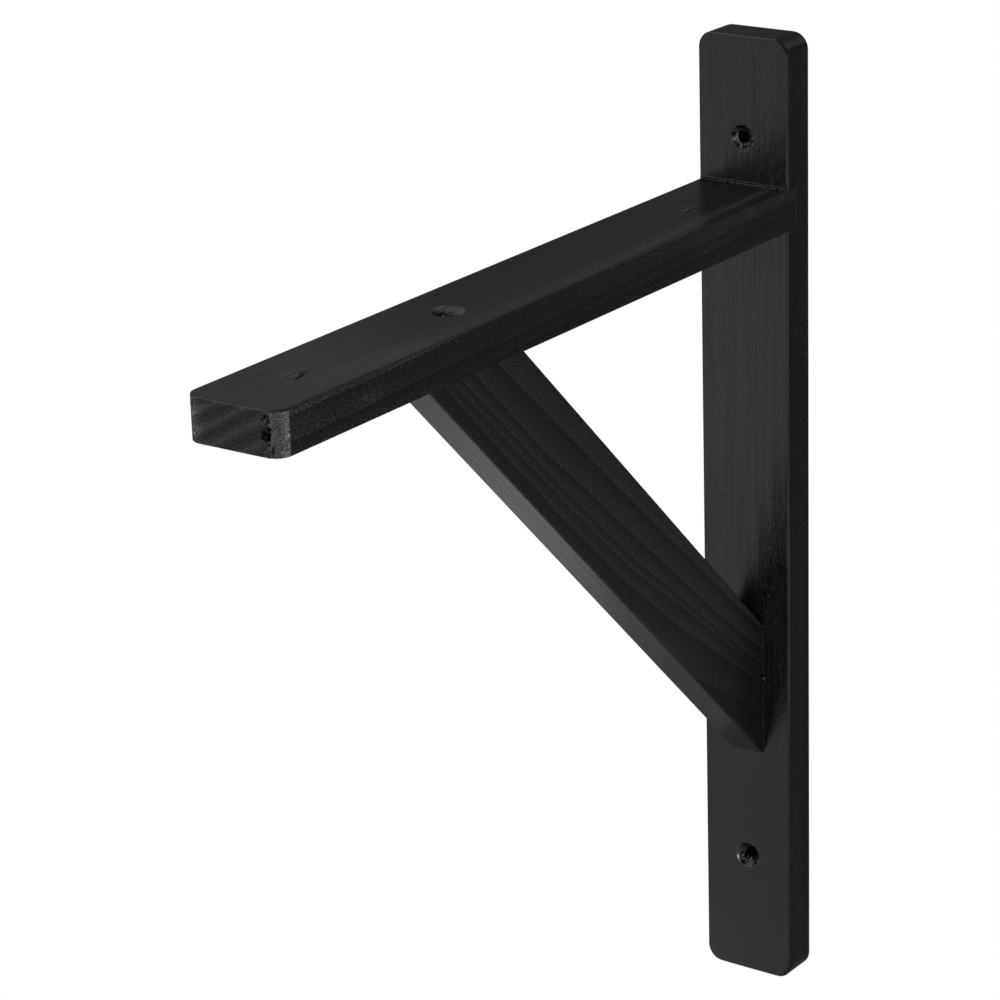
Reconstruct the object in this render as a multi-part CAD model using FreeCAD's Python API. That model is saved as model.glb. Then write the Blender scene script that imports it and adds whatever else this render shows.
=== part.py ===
import FreeCAD, Part
import math
import os

# A wooden shelf bracket: an upright for the wall, an arm for the shelf and a brace between them.
# Millimetres. X runs along the wall, -Y points out of the wall and +Z is up. The origin is on the
# wall plane and on the bracket's centreline, level with the top of the arm, where the shelf lies.

# Timber sections
TIMBER_WIDTH = 34.0  # upright and arm, along the wall
UPRIGHT_THICKNESS = 13.5
ARM_THICKNESS = 14.0
BRACE_WIDTH = 13.0  # along the wall
BRACE_DEPTH = 34.0  # square to the brace's length

# Lengths
UPRIGHT_RISE = 50.0  # from the shelf up to the upright's top
UPRIGHT_DROP = 286.5  # from the shelf down to the upright's foot
ARM_REACH = 280.0  # from the wall to the arm's front end
BRACE_OUT = 189.5  # from the upright's front to the brace's toe under the arm
BRACE_DOWN = 188.0  # from the arm's underside to the brace's heel on the upright

# Housing joint between arm and upright
HOUSING_DEPTH = 4.8

# Corners and edges
UPRIGHT_CORNER_RADIUS = 5.5
ARM_CORNER_RADIUS = 5.0
BOARD_EDGE_RADIUS = 0.6  # long edges of upright and arm
BRACE_EDGE_RADIUS = 0.5

# Wall screw holes, through the upright from its front
WALL_HOLE_BORE = 4.5
WALL_HOLE_MOUTH = 9.0
WALL_HOLE_ABOVE = 16.0  # above the shelf
WALL_HOLE_TO_FOOT = 44.5  # above the upright's foot

# Shelf screw holes, through the arm from its underside
SHELF_HOLE_BORE = 4.5
SHELF_HOLE_MOUTH = 8.0
SHELF_HOLE_INNER = 48.0  # from the wall
SHELF_HOLE_TO_END = 29.5  # from the arm's front end

# Countersinks, for holes and screw heads alike
SINK_ANGLE = 90.0  # degrees, the full cone

# Assembly screws
SCREW_HEAD = 8.0
SCREW_HEAD_LAND = 0.4  # straight rim of the head
SCREW_SINK = 0.6  # head below the wood's face
SCREW_NECK = 4.0
SCREW_CORE = 2.6
SCREW_POINT = 4.0  # length of the tapered tip
NECK_MARGIN = 0.5  # the plain neck stops this short of the joint
NECK_CLEARANCE = 0.2  # on the diameter, in the outer timber
PILOT_CLEARANCE = 0.1  # on the diameter, in the inner timber
BRACE_SCREW_LENGTH = 30.0
ARM_SCREW_LENGTH = 35.0

# Cross recess of the screw heads
RECESS_SPAN = 4.4  # tip to tip at the top
RECESS_FLOOR = 1.6  # tip to tip at the bottom
RECESS_WING = 0.9  # thickness of each wing
RECESS_DEPTH = 1.8

# How far a cutter passes the face that it opens
OVERCUT = 1.0

# Two positions closer than this are the same
SAME_PLACE = 1e-6

X_AXIS = FreeCAD.Vector(1, 0, 0)
Y_AXIS = FreeCAD.Vector(0, 1, 0)
Z_AXIS = FreeCAD.Vector(0, 0, 1)

# Worked out from the sizes above: the brace's upper face, its middle line and the countersinks' slope
BRACE_SLOPE = BRACE_DOWN / BRACE_OUT
BRACE_INNER_OUT = BRACE_OUT - BRACE_DEPTH / math.sin(math.atan(BRACE_SLOPE))
BRACE_INNER_DOWN = BRACE_INNER_OUT * BRACE_SLOPE
BRACE_MIDDLE_OUT = (BRACE_OUT + BRACE_INNER_OUT) / 2
BRACE_MIDDLE_DOWN = (BRACE_DOWN + BRACE_INNER_DOWN) / 2
SINK_SLOPE = math.tan(math.radians(SINK_ANGLE / 2))


def rounded_face(corners, radii):
    """Flat face with straight sides, each corner rounded by its own radius or left sharp."""
    edges = []
    starts, ends, arcs = [], [], []
    for index, corner in enumerate(corners):
        before = (corners[index - 1] - corner).normalize()
        after = (corners[(index + 1) % len(corners)] - corner).normalize()
        radius = radii[index]
        half = before.getAngle(after) / 2
        reach = radius / math.tan(half)
        starts.append(corner + before * reach)
        ends.append(corner + after * reach)
        middle = (before + after).normalize() * (radius / math.sin(half) - radius)
        arcs.append(corner + middle)
    for index in range(len(corners)):
        if radii[index] > 0:
            edges.append(Part.Arc(starts[index], arcs[index], ends[index]).toShape())
        edges.append(Part.makeLine(ends[index], starts[(index + 1) % len(corners)]))
    return Part.Face(Part.Wire(edges))


def edges_on(shape, axis, level, skip=None):
    """Edges in the plane at this level along the axis, apart from those that skip names."""
    found = []
    for edge in shape.Edges:
        points = edge.discretize(3)
        if all(abs(point.dot(axis) - level) < SAME_PLACE for point in points):
            if skip is None or not skip(points):
                found.append(edge)
    return found


def turned(profile):
    """Solid turned about the Z axis from (radius, height) points."""
    points = [FreeCAD.Vector(radius, 0, height) for radius, height in profile]
    face = Part.Face(Part.makePolygon(points + points[:1]))
    return face.revolve(FreeCAD.Vector(0, 0, 0), Z_AXIS, 360)


def driven(shape, direction, point, spin=0.0):
    """A shape made along -Z from the origin, spun about it, then turned to run from a point."""
    placed = shape.copy()
    placed.rotate(FreeCAD.Vector(0, 0, 0), Z_AXIS, spin)
    turn = FreeCAD.Placement(point, FreeCAD.Rotation(-Z_AXIS, direction))
    placed.Placement = turn.multiply(placed.Placement)
    return placed


def countersunk_hole(mouth, bore, depth):
    """Cutter for a countersunk through hole in a board of this depth, with its mouth at the origin."""
    cone = (mouth - bore) / 2 / SINK_SLOPE
    return turned([
        (0, OVERCUT),
        (mouth / 2 + OVERCUT * SINK_SLOPE, OVERCUT),
        (bore / 2, -cone),
        (bore / 2, -depth - OVERCUT),
        (0, -depth - OVERCUT),
    ])


def cross_recess():
    """Cutter for the cross recess in a screw head whose top is at the origin."""
    side = [
        FreeCAD.Vector(-RECESS_SPAN / 2, -RECESS_WING / 2, 0),
        FreeCAD.Vector(RECESS_SPAN / 2, -RECESS_WING / 2, 0),
        FreeCAD.Vector(RECESS_FLOOR / 2, -RECESS_WING / 2, -RECESS_DEPTH),
        FreeCAD.Vector(-RECESS_FLOOR / 2, -RECESS_WING / 2, -RECESS_DEPTH),
    ]
    wing = Part.Face(Part.makePolygon(side + side[:1])).extrude(Y_AXIS * RECESS_WING)
    other = wing.copy()
    other.rotate(FreeCAD.Vector(0, 0, 0), Z_AXIS, 90)
    return wing.fuse(other)


def wood_screw(length, outer_timber):
    """Countersunk screw with a plain core, along -Z from an outer timber's face at the origin."""
    neck = SCREW_NECK / 2
    core = SCREW_CORE / 2
    top = -SCREW_SINK
    land = top - SCREW_HEAD_LAND
    under_head = land - (SCREW_HEAD / 2 - neck) / SINK_SLOPE
    neck_end = -(outer_timber - NECK_MARGIN)
    tip = top - length
    body = turned([
        (0, top),
        (SCREW_HEAD / 2, top),
        (SCREW_HEAD / 2, land),
        (neck, under_head),
        (neck, neck_end),
        (core, neck_end),
        (core, tip + SCREW_POINT),
        (0, tip),
    ])
    recess = cross_recess()
    recess.translate(FreeCAD.Vector(0, 0, top))
    return body.cut(recess)


def screw_hole(length, outer_timber):
    """Cutter for that screw: its seat and clearance in the outer timber, its pilot in the inner one."""
    bore = (SCREW_NECK + NECK_CLEARANCE) / 2
    pilot = (SCREW_CORE + PILOT_CLEARANCE) / 2
    seat = SCREW_SINK + SCREW_HEAD_LAND
    mouth = SCREW_HEAD / 2 + seat * SINK_SLOPE
    tip = -SCREW_SINK - length
    return turned([
        (0, OVERCUT),
        (mouth + OVERCUT * SINK_SLOPE, OVERCUT),
        (bore, -(mouth - bore) / SINK_SLOPE),
        (bore, -outer_timber),
        (pilot, -outer_timber),
        (pilot, tip + SCREW_POINT),
        (0, tip - PILOT_CLEARANCE),
    ])


def screws():
    """Name, length, outer timber, direction, entry point and spin of the recess, for each assembly screw."""
    brace_out = UPRIGHT_THICKNESS + BRACE_MIDDLE_OUT
    brace_down = ARM_THICKNESS + BRACE_MIDDLE_DOWN
    behind_arm = UPRIGHT_THICKNESS - HOUSING_DEPTH
    return [
        ("arm_brace_screw", BRACE_SCREW_LENGTH, ARM_THICKNESS,
         -Z_AXIS, FreeCAD.Vector(0, -brace_out, 0), 25.0),
        ("upright_brace_screw", BRACE_SCREW_LENGTH, UPRIGHT_THICKNESS,
         -Y_AXIS, FreeCAD.Vector(0, 0, -brace_down), 60.0),
        ("upright_arm_screw", ARM_SCREW_LENGTH, behind_arm,
         -Y_AXIS, FreeCAD.Vector(0, 0, -ARM_THICKNESS / 2), 10.0),
    ]


def drilled_for_screws(shape):
    """The timber with the holes of every assembly screw that passes through it."""
    for name, length, outer_timber, direction, point, spin in screws():
        shape = shape.cut(driven(screw_hole(length, outer_timber), direction, point))
    return shape


def make_upright():
    """Board with rounded corners and eased edges, housed for the arm and drilled for the wall."""
    half = TIMBER_WIDTH / 2
    corners = [
        FreeCAD.Vector(-half, 0, -UPRIGHT_DROP),
        FreeCAD.Vector(half, 0, -UPRIGHT_DROP),
        FreeCAD.Vector(half, 0, UPRIGHT_RISE),
        FreeCAD.Vector(-half, 0, UPRIGHT_RISE),
    ]
    board = rounded_face(corners, [UPRIGHT_CORNER_RADIUS] * 4).extrude(-Y_AXIS * UPRIGHT_THICKNESS)
    rims = edges_on(board, Y_AXIS, 0) + edges_on(board, Y_AXIS, -UPRIGHT_THICKNESS)
    board = board.makeFillet(BOARD_EDGE_RADIUS, rims)

    housing_floor = -(UPRIGHT_THICKNESS - HOUSING_DEPTH)
    housing = Part.makeBox(
        TIMBER_WIDTH + 2 * OVERCUT,
        HOUSING_DEPTH + OVERCUT,
        ARM_THICKNESS,
        FreeCAD.Vector(-half - OVERCUT, housing_floor - HOUSING_DEPTH - OVERCUT, -ARM_THICKNESS),
    )
    board = board.cut(housing)

    hole = countersunk_hole(WALL_HOLE_MOUTH, WALL_HOLE_BORE, UPRIGHT_THICKNESS)
    for height in (WALL_HOLE_ABOVE, WALL_HOLE_TO_FOOT - UPRIGHT_DROP):
        board = board.cut(driven(hole, Y_AXIS, FreeCAD.Vector(0, -UPRIGHT_THICKNESS, height)))
    return drilled_for_screws(board)


def make_arm():
    """Board with rounded front corners and eased edges, let into the upright and drilled for the shelf."""
    half = TIMBER_WIDTH / 2
    corners = [
        FreeCAD.Vector(-half, -UPRIGHT_THICKNESS, 0),
        FreeCAD.Vector(-half, -ARM_REACH, 0),
        FreeCAD.Vector(half, -ARM_REACH, 0),
        FreeCAD.Vector(half, -UPRIGHT_THICKNESS, 0),
    ]
    radii = [0, ARM_CORNER_RADIUS, ARM_CORNER_RADIUS, 0]
    board = rounded_face(corners, radii).extrude(-Z_AXIS * ARM_THICKNESS)

    def at_joint(points):
        return all(abs(point.y + UPRIGHT_THICKNESS) < SAME_PLACE for point in points)

    rims = edges_on(board, Z_AXIS, 0, at_joint) + edges_on(board, Z_AXIS, -ARM_THICKNESS, at_joint)
    board = board.makeFillet(BOARD_EDGE_RADIUS, rims)

    joint_face = max(board.Faces, key=lambda face: face.CenterOfMass.y)
    housed_end = joint_face.extrude(Y_AXIS * HOUSING_DEPTH)
    board = board.fuse(housed_end)

    hole = countersunk_hole(SHELF_HOLE_MOUTH, SHELF_HOLE_BORE, ARM_THICKNESS)
    for distance in (SHELF_HOLE_INNER, ARM_REACH - SHELF_HOLE_TO_END):
        board = board.cut(driven(hole, Z_AXIS, FreeCAD.Vector(0, -distance, -ARM_THICKNESS)))
    return drilled_for_screws(board)


def make_brace():
    """Strip on edge, mitred to lie under the arm and against the upright."""
    front = -UPRIGHT_THICKNESS
    under = -ARM_THICKNESS
    side = -BRACE_WIDTH / 2
    corners = [
        FreeCAD.Vector(side, front - BRACE_OUT, under),
        FreeCAD.Vector(side, front, under - BRACE_DOWN),
        FreeCAD.Vector(side, front, under - BRACE_INNER_DOWN),
        FreeCAD.Vector(side, front - BRACE_INNER_OUT, under),
    ]
    strip = rounded_face(corners, [0] * 4).extrude(X_AXIS * BRACE_WIDTH)
    long_edges = []
    for edge in strip.Edges:
        start, end = edge.Vertexes[0].Point, edge.Vertexes[-1].Point
        if abs(start.y - end.y) > SAME_PLACE and abs(start.z - end.z) > SAME_PLACE:
            long_edges.append(edge)
    strip = strip.makeFillet(BRACE_EDGE_RADIUS, long_edges)
    return drilled_for_screws(strip)


def make_pieces():
    """Every piece of the bracket by its name."""
    pieces = {
        "upright": make_upright(),
        "arm": make_arm(),
        "brace": make_brace(),
    }
    for name, length, outer_timber, direction, point, spin in screws():
        pieces[name] = driven(wood_screw(length, outer_timber), direction, point, spin)
    return pieces


os.makedirs("parts", exist_ok=True)
for piece_name, piece in make_pieces().items():
    piece.exportStep(os.path.join("parts", piece_name + ".step"))
    print(piece_name, piece.isValid(), len(piece.Solids), round(piece.Volume, 2))
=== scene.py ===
import math
from collections import namedtuple
import bmesh
import bpy
from mathutils import Matrix, Vector, noise


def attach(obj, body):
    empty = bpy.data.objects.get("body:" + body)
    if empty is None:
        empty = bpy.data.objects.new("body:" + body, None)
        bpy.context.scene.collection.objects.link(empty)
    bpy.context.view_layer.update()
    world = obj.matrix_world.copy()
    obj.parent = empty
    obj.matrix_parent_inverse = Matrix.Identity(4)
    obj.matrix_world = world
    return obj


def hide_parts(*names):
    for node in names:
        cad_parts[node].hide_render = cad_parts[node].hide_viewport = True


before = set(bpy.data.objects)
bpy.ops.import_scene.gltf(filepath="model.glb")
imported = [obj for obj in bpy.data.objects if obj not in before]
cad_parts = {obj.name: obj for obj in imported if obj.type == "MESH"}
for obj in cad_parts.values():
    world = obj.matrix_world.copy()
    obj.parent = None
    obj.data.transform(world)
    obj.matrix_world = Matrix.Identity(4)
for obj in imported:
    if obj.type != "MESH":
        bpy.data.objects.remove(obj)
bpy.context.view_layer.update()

# Upright: the board that goes on the wall. Planed softwood with its corners rounded and its edges
# eased, a housing sawn across its front for the arm and a countersunk screw hole near each end.
# It is brushed near black, thin enough for the grain to show through as fine ridges.
MM = 0.001
UP = Vector((0, 0, 1))
ALONG_WALL = Vector((1, 0, 0))
TO_WALL = Vector((0, 1, 0))
OUT_OF_FRONT = Matrix.Rotation(math.radians(90), 4, "X")
OUT_OF_BACK = Matrix.Rotation(math.radians(-90), 4, "X")
TIMBER_WIDTH = 34.0
HALF_TIMBER = TIMBER_WIDTH / 2
UPRIGHT_THICKNESS = 13.5
UPRIGHT_RISE = 50.0
UPRIGHT_DROP = 286.5
UPRIGHT_CORNER = 5.5
UPRIGHT_CUPPING = 0.10
ARM_THICKNESS = 14.0
HOUSING_DEPTH = 4.8
HOUSING_FLOOR = HOUSING_DEPTH - UPRIGHT_THICKNESS
EASED_EDGE = 0.6
SHARP_EDGE = math.radians(36)
OVERCUT = 1.0
SCREW_SEAT = 5.0
SCREW_BORE = 2.1
BRACE_HEEL_SCREW = -178.1

# Steps between the planes that divide a board's faces, and the finer ones round a wall hole
GRID_ALONG = 3.0
GRID_ACROSS = 0.5
GRID_THROUGH = 0.6
WALL_HOLE_GRID = 0.2
WALL_HOLE_GRID_REACH = 5.6
WALL_HOLE_ROUND = 6.2

# Wall holes: each bore lies a little aside of its mouth. The countersink is torn most on one side, and
# all_round says how torn the rest of it is
WALL_HOLE_BORE = 2.05
WALL_HOLE_PIT_DEPTH = 1.2
HOLE_STEPS = 96
WallHole = namedtuple("WallHole", "centre mouth bore_aside torn_side all_round")
WALL_HOLES = (
    WallHole(Vector((-0.3, -UPRIGHT_THICKNESS, 15.9)), 4.05,
             Vector((-0.65, 0, -0.35)), Vector((-0.8, 0, -0.6)), 0.45),
    WallHole(Vector((0.0, -UPRIGHT_THICKNESS, -242.0)), 4.45,
             Vector((-0.1, 0, 0.1)), Vector((-0.78, 0, -0.62)), -0.15),
)

# Pits in the countersinks, dented in and painted plain black as their shade, and glints painted pale on the
# torn wood: (across, up, reach)
WALL_HOLE_PITS = [
    (-2.2, 19.2, 0.65), (-1.2, 19.3, 0.5), (-0.5, 19.9, 0.4), (0.2, 19.3, 0.6), (1.4, 19.0, 0.5),
    (-2.3, 17.8, 0.5), (-4.1, 16.7, 0.5), (-2.6, 17.0, 0.35), (3.3, 16.6, 0.5), (3.7, 15.7, 0.4),
    (3.2, 14.7, 0.4), (2.4, 13.3, 0.45), (-2.7, 15.4, 0.35), (-2.5, 13.0, 0.35), (0.4, 12.6, 0.35),
    (-2.5, -245.7, 0.7), (0.8, -244.2, 0.5), (-2.4, -243.1, 0.55), (-2.0, -243.8, 0.45),
    (-2.1, -242.1, 0.5), (-0.9, -244.2, 0.4), (-3.3, -242.5, 0.45), (2.9, -243.6, 0.35),
]
WALL_HOLE_PAINTED_GLINTS = [
    (-2.7, 14.4, 0.5), (-3.8, 14.9, 0.45), (-3.1, 15.4, 0.4), (-4.4, 14.5, 0.35), (-4.2, 13.6, 0.4),
    (3.9, 16.3, 0.2), (2.7, 17.2, 0.22), (3.0, 15.6, 0.18), (3.6, 14.1, 0.22),
    (-3.8, -245.3, 0.45), (-1.3, -242.3, 0.4), (-4.2, -244.2, 0.5), (-4.2, -243.4, 0.35),
    (-2.9, -243.5, 0.3), (3.6, -243.8, 0.3),
]

# Growth lines on the back: (up from the foot, across). The rings slant through the board's thickness
UPRIGHT_LINES = [
    [(0, -9.0), (336, -3.0)],
    [(0, -1.0), (336, 4.0)],
    [(0, 5.5), (150, 8.0), (336, 9.5)],
    [(0, 11.0), (150, 14.5), (336, 15.5)],
    [(0, 17.5), (150, 19.5), (336, 22.5)],
    [(0, 24.0), (150, 26.5), (336, 28.0)],
    [(0, 31.5), (150, 32.0), (336, 35.5)],
    [(0, 38.0), (336, 41.0)],
]
RING_SLANT = 0.55
UPRIGHT_RIDGE = 0.003

# Drying cracks: (points, half width, depth, lip)
UPRIGHT_CRACKS = [
    ([(4.5, -24), (4.3, -32), (4.35, -45), (4.15, -60)], 0.06, 0.10, 0.0),
    ([(4.15, -60), (4.3, -85), (4.1, -110)], 0.06, 0.04, 0.0),
    ([(4.6, 44), (4.4, 25), (4.5, 3)], 0.06, 0.04, 0.0),
]

# Heights where the brushed grain starts; where the grain stands open beside the brace and over the arm,
# flecked with painted light in the shade reflected there; and where the sides are paler near the top
BRUSHED_FROM = -215
OPEN_GRAIN_AND_PAINTED_FLECKS_BY_BRACE = -150
OPEN_GRAIN_AND_PAINTED_FLECKS_OVER_ARM = 0
RUBBED_TOP = 36


def clamp(value):
    return min(1.0, max(0.0, value))


def ramp(value, start, over):
    """Rises from 0 at the start to 1 over a distance."""
    return clamp((value - start) / over)


def hump(value, middle, reach, power=2):
    """Falls off smoothly on both sides of the middle, where it is 1."""
    return math.exp(-((value - middle) / reach) ** power)


def circle(radius, steps):
    """Places (x, y) round a circle, or its middle alone where it has no radius."""
    turns = [2 * math.pi * step / steps for step in range(steps if radius else 1)]
    return [(radius * math.cos(turn), radius * math.sin(turn)) for turn in turns]


def level_ring(radius, height, steps):
    """Points round a circle that lies level at a height."""
    return [Vector((x, y, height)) for x, y in circle(radius, steps)]


def rounded_outline(corners, radii):
    """Points round a flat outline whose corners are turned on their own radii."""
    steps = 9
    points = []
    for index, corner in enumerate(corners):
        radius = radii[index]
        if not radius:
            points.append(corner)
            continue
        before = (corners[index - 1] - corner).normalized()
        after = (corners[(index + 1) % len(corners)] - corner).normalized()
        half = before.angle(after) / 2
        centre = corner + (before + after).normalized() * radius / math.sin(half)
        start = (corner + before * radius / math.tan(half) - centre) / radius
        end = (corner + after * radius / math.tan(half) - centre) / radius
        points += [centre + radius * start.slerp(end, step / steps) for step in range(steps + 1)]
    return points


def planed_board(outline, through, eased, edge):
    """Board with this outline and thickness, and the edges that the test picks eased all along."""
    board = bmesh.new()
    face = board.faces.new([board.verts.new(point) for point in outline])
    grown = bmesh.ops.extrude_face_region(board, geom=[face])["geom"]
    far_side = [part for part in grown if isinstance(part, bmesh.types.BMVert)]
    bmesh.ops.translate(board, vec=through, verts=far_side)
    bmesh.ops.recalc_face_normals(board, faces=board.faces[:])
    rims = [e for e in board.edges if eased(e) and e.calc_face_angle() > math.radians(60)]
    bmesh.ops.bevel(board, geom=rims, offset=edge, segments=3, profile=0.5, affect="EDGES")
    return board


def add_block(mesh, low, high):
    """Adds a plain block between two corners."""
    size = Vector(high) - Vector(low)
    place = Matrix.Translation((Vector(high) + Vector(low)) / 2) @ Matrix.Diagonal((*size, 1))
    bmesh.ops.create_cube(mesh, size=1, matrix=place)


def add_rings(mesh, rings):
    """Joins rings of points, of one size or single points, into a closed skin."""
    rings = [[mesh.verts.new(point) for point in ring] for ring in rings]
    steps = max(len(ring) for ring in rings)
    faces = []
    for upper, lower in zip(rings, rings[1:]):
        for step in range(steps):
            after = (step + 1) % steps
            loop = [upper[step % len(upper)], upper[after % len(upper)],
                    lower[after % len(lower)], lower[step % len(lower)]]
            faces.append(mesh.faces.new(list(dict.fromkeys(loop))))
    bmesh.ops.recalc_face_normals(mesh, faces=faces)


def add_turned(mesh, place, profile, steps=64):
    """Adds a solid turned about its own Z axis from (radius, height) points."""
    add_rings(mesh, [
        [place @ point for point in level_ring(radius, height, steps)] for radius, height in profile])


def add_countersunk_hole(mesh, place, mouth, bore, shift, depth):
    """Adds the cutter of a countersunk hole, its mouth softened by paint and its bore a little aside."""
    sink = mouth - bore
    rings = []
    for radius, height in (
            (0, OVERCUT), (mouth + 0.2, OVERCUT), (mouth + 0.2, 0.0), (mouth + 0.04, -0.05),
            (mouth - 0.12, -0.22), (bore + 0.18, -sink + 0.12), (bore, -sink - 0.25),
            (bore, -depth - OVERCUT), (0, -depth - OVERCUT)):
        aside = shift * clamp(-height / sink)
        rings.append([place @ (aside + point) for point in level_ring(radius, height, HOLE_STEPS)])
    add_rings(mesh, rings)


def cut_away(board, cutter):
    """The board with the cutter's solids taken out of it."""
    things = []
    for mesh in (board, cutter):
        data = bpy.data.meshes.new("blank")
        mesh.to_mesh(data)
        mesh.free()
        things.append(bpy.data.objects.new("blank", data))
        bpy.context.scene.collection.objects.link(things[-1])
    cut = things[0].modifiers.new("cut", "BOOLEAN")
    cut.operation, cut.solver, cut.object = "DIFFERENCE", "EXACT", things[1]
    bpy.context.view_layer.update()
    ready = things[0].evaluated_get(bpy.context.evaluated_depsgraph_get())
    result = bmesh.new()
    result.from_mesh(ready.to_mesh())
    ready.to_mesh_clear()
    for thing in things:
        data = thing.data
        bpy.data.objects.remove(thing)
        bpy.data.meshes.remove(data)
    return result


def divide(mesh, direction, start, stop, step, within=None):
    """Divides faces by even planes square to a direction: all, or those whose middle is within."""
    geometry = mesh.verts[:] + mesh.edges[:] + mesh.faces[:]
    if within:
        faces = [f for f in mesh.faces if within(f.calc_center_median())]
        verts = list({v for f in faces for v in f.verts})
        geometry = verts + list({e for f in faces for e in f.edges}) + faces
    for index in range(int((stop - start) / step + 1e-6) + 1):
        cut = bmesh.ops.bisect_plane(
            mesh, geom=geometry, dist=1e-4, plane_co=direction * (start + index * step), plane_no=direction)
        geometry = cut["geom"]


def near(centre, reach):
    """A test for points that lie round a centre."""
    return lambda point: (point - centre).length < reach


def growth_ring(lines, along, depth):
    """Count of the growth lines up to a place, between lines drawn as (along, depth) points."""
    depths = []
    for line in lines:
        for (a, da), (b, db) in zip(line, line[1:]):
            if along <= b or b == line[-1][0]:
                depths.append(da + (db - da) * (along - a) / (b - a))
                break
    if depth < depths[0]:
        return (depth - depths[0]) / (depths[1] - depths[0])
    for index, (above, below) in enumerate(zip(depths, depths[1:])):
        if depth < below:
            return index + (depth - above) / (below - above)
    return len(depths) - 1 + (depth - depths[-1]) / (depths[-1] - depths[-2])


# How the paint lies at a point: added roughness, how pale it shows, from the wood showing through it
# and from highlights, sheen and shade painted into it, how torn the wood is under it and how far the fibres
# stand up
Finish = namedtuple("Finish", "rough pale torn raised")
FIBRE_HEIGHT = 0.016
WAVE_HEIGHT = 0.03


def grain_up(mesh, lay, lines, slant, finish, ridge):
    """Notes each point's place in the timber and its finish for the paint, then raises the grain."""
    grain = mesh.verts.layers.float_vector.new("grain")
    layers = [mesh.verts.layers.float.new(name) for name in ("ring", *Finish._fields)]
    mesh.normal_update()
    for vert in mesh.verts:
        across, along, depth = lay(vert.co)
        wander = 0.5 * noise.noise(Vector((across / 9, along / 70, depth / 9)))
        count = growth_ring(lines, along, across + slant * depth + wander)
        lies = finish(vert)
        vert[grain] = (across, along, depth)
        for layer, value in zip(layers, (count, *lies)):
            vert[layer] = value
        fibre = FIBRE_HEIGHT * lies.raised
        fibre *= noise.noise(Vector((across / 1.1, along / 30, depth / 1.1)))
        wave = WAVE_HEIGHT * min(1, 0.4 + lies.raised)
        wave *= noise.noise(Vector((across / 6, along / 110, depth / 6)))
        vert.co += vert.normal * (fibre + wave + ridge * (count - math.floor(count)))


def score(mesh, flatten, marks, reach=2.5):
    """Presses grooves with raised lips into a face, at (points, half width, depth, lip) in its plane."""
    for points, wide, deep, lip in marks:
        points = [Vector(point) for point in points]
        for vert in mesh.verts:
            spot = flatten(vert)
            if spot is None:
                continue
            nearest = reach
            for a, b in zip(points, points[1:]):
                share = clamp((spot - a).dot(b - a) / (b - a).length_squared)
                nearest = min(nearest, (spot - a - (b - a) * share).length)
            if nearest < reach:
                uneven = 1 + 0.8 * noise.noise(Vector((spot.x * 1.7, spot.y * 0.9, wide * 10)))
                groove = lip * hump(nearest, 2.2 * wide, wide) - deep * hump(nearest, 0, wide)
                vert.co += vert.normal * groove * uneven


def tear(mesh, within, deep, grain_size, pits=0.0):
    """Roughens the torn wood inside a hole or at a corner, and picks pits in it."""
    moves = []
    for vert in mesh.verts:
        amount = within(vert.co)
        if amount > 0:
            spot = vert.co / grain_size
            shift = Vector([noise.noise(spot + away) for away in (Vector(), UP * 7.3, ALONG_WALL * 5.1)])
            pit = clamp((noise.noise(spot * 0.8 + TO_WALL * 9.7) - 0.05) / 0.2)
            moves.append((vert, shift * deep * amount - vert.normal * pits * pit * amount))
    for vert, move in moves:
        vert.co += move


def finished(mesh, name, paint):
    """The piece, in metres, with its arrises crisp and the rest smooth."""
    mesh.transform(Matrix.Scale(MM, 4))
    mesh.normal_update()
    for face in mesh.faces:
        face.smooth = True
    for edge in mesh.edges:
        edge.smooth = len(edge.link_faces) == 2 and edge.calc_face_angle() < SHARP_EDGE
    data = bpy.data.meshes.new(name)
    mesh.to_mesh(data)
    mesh.free()
    data.materials.append(paint)
    piece = bpy.data.objects.new(name, data)
    bpy.context.scene.collection.objects.link(piece)
    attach(piece, "root")
    return piece


class Recipe:
    """Lays out a material's nodes one after another."""

    def __init__(self, name):
        self.material = bpy.data.materials.new(name)
        self.material.use_nodes = True
        self.tree = self.material.node_tree
        self.shader = self.tree.nodes["Principled BSDF"]

    def add(self, kind, settings=(), **sockets):
        node = self.tree.nodes.new(kind)
        for key, value in dict(settings).items():
            setattr(node, key, value)
        for key, value in sockets.items():
            socket = node.inputs[int(key[1:])] if key[0] == "i" and key[1:].isdigit() else node.inputs[key]
            self.feed(socket, value)
        return node

    def feed(self, socket, value):
        if isinstance(value, bpy.types.Node):
            value = value.outputs[0]
        if isinstance(value, bpy.types.NodeSocket):
            self.tree.links.new(value, socket)
        else:
            socket.default_value = value

    def set(self, name, value):
        self.feed(self.shader.inputs[name], value)

    def number(self, operation, first, second=0.0, third=0.0):
        return self.add("ShaderNodeMath", {"operation": operation}, i0=first, i1=second, i2=third)

    def plus(self, first, second):
        return self.number("ADD", first, second)

    def times(self, first, second, more=None):
        """Two values multiplied, with a third added where there is one."""
        if more is None:
            return self.number("MULTIPLY", first, second)
        return self.number("MULTIPLY_ADD", first, second, more)

    def spread(self, value, low, high, to_low, to_high):
        limits = {"From Min": low, "From Max": high, "To Min": to_low, "To Max": to_high}
        return self.add("ShaderNodeMapRange", {"interpolation_type": "SMOOTHSTEP"}, Value=value, **limits)

    def cloud(self, place, stretch, detail, roughness=0.5):
        scaled = self.add("ShaderNodeVectorMath", {"operation": "MULTIPLY"}, i0=place, i1=stretch)
        return self.add("ShaderNodeTexNoise", Vector=scaled, Scale=1.0, Detail=detail, Roughness=roughness)

    def noted(self, name):
        return self.add("ShaderNodeAttribute", {"attribute_name": name})

    def relief(self, height, distance):
        self.set("Normal", self.add("ShaderNodeBump", Strength=1.0, Distance=distance, Height=height))


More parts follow.
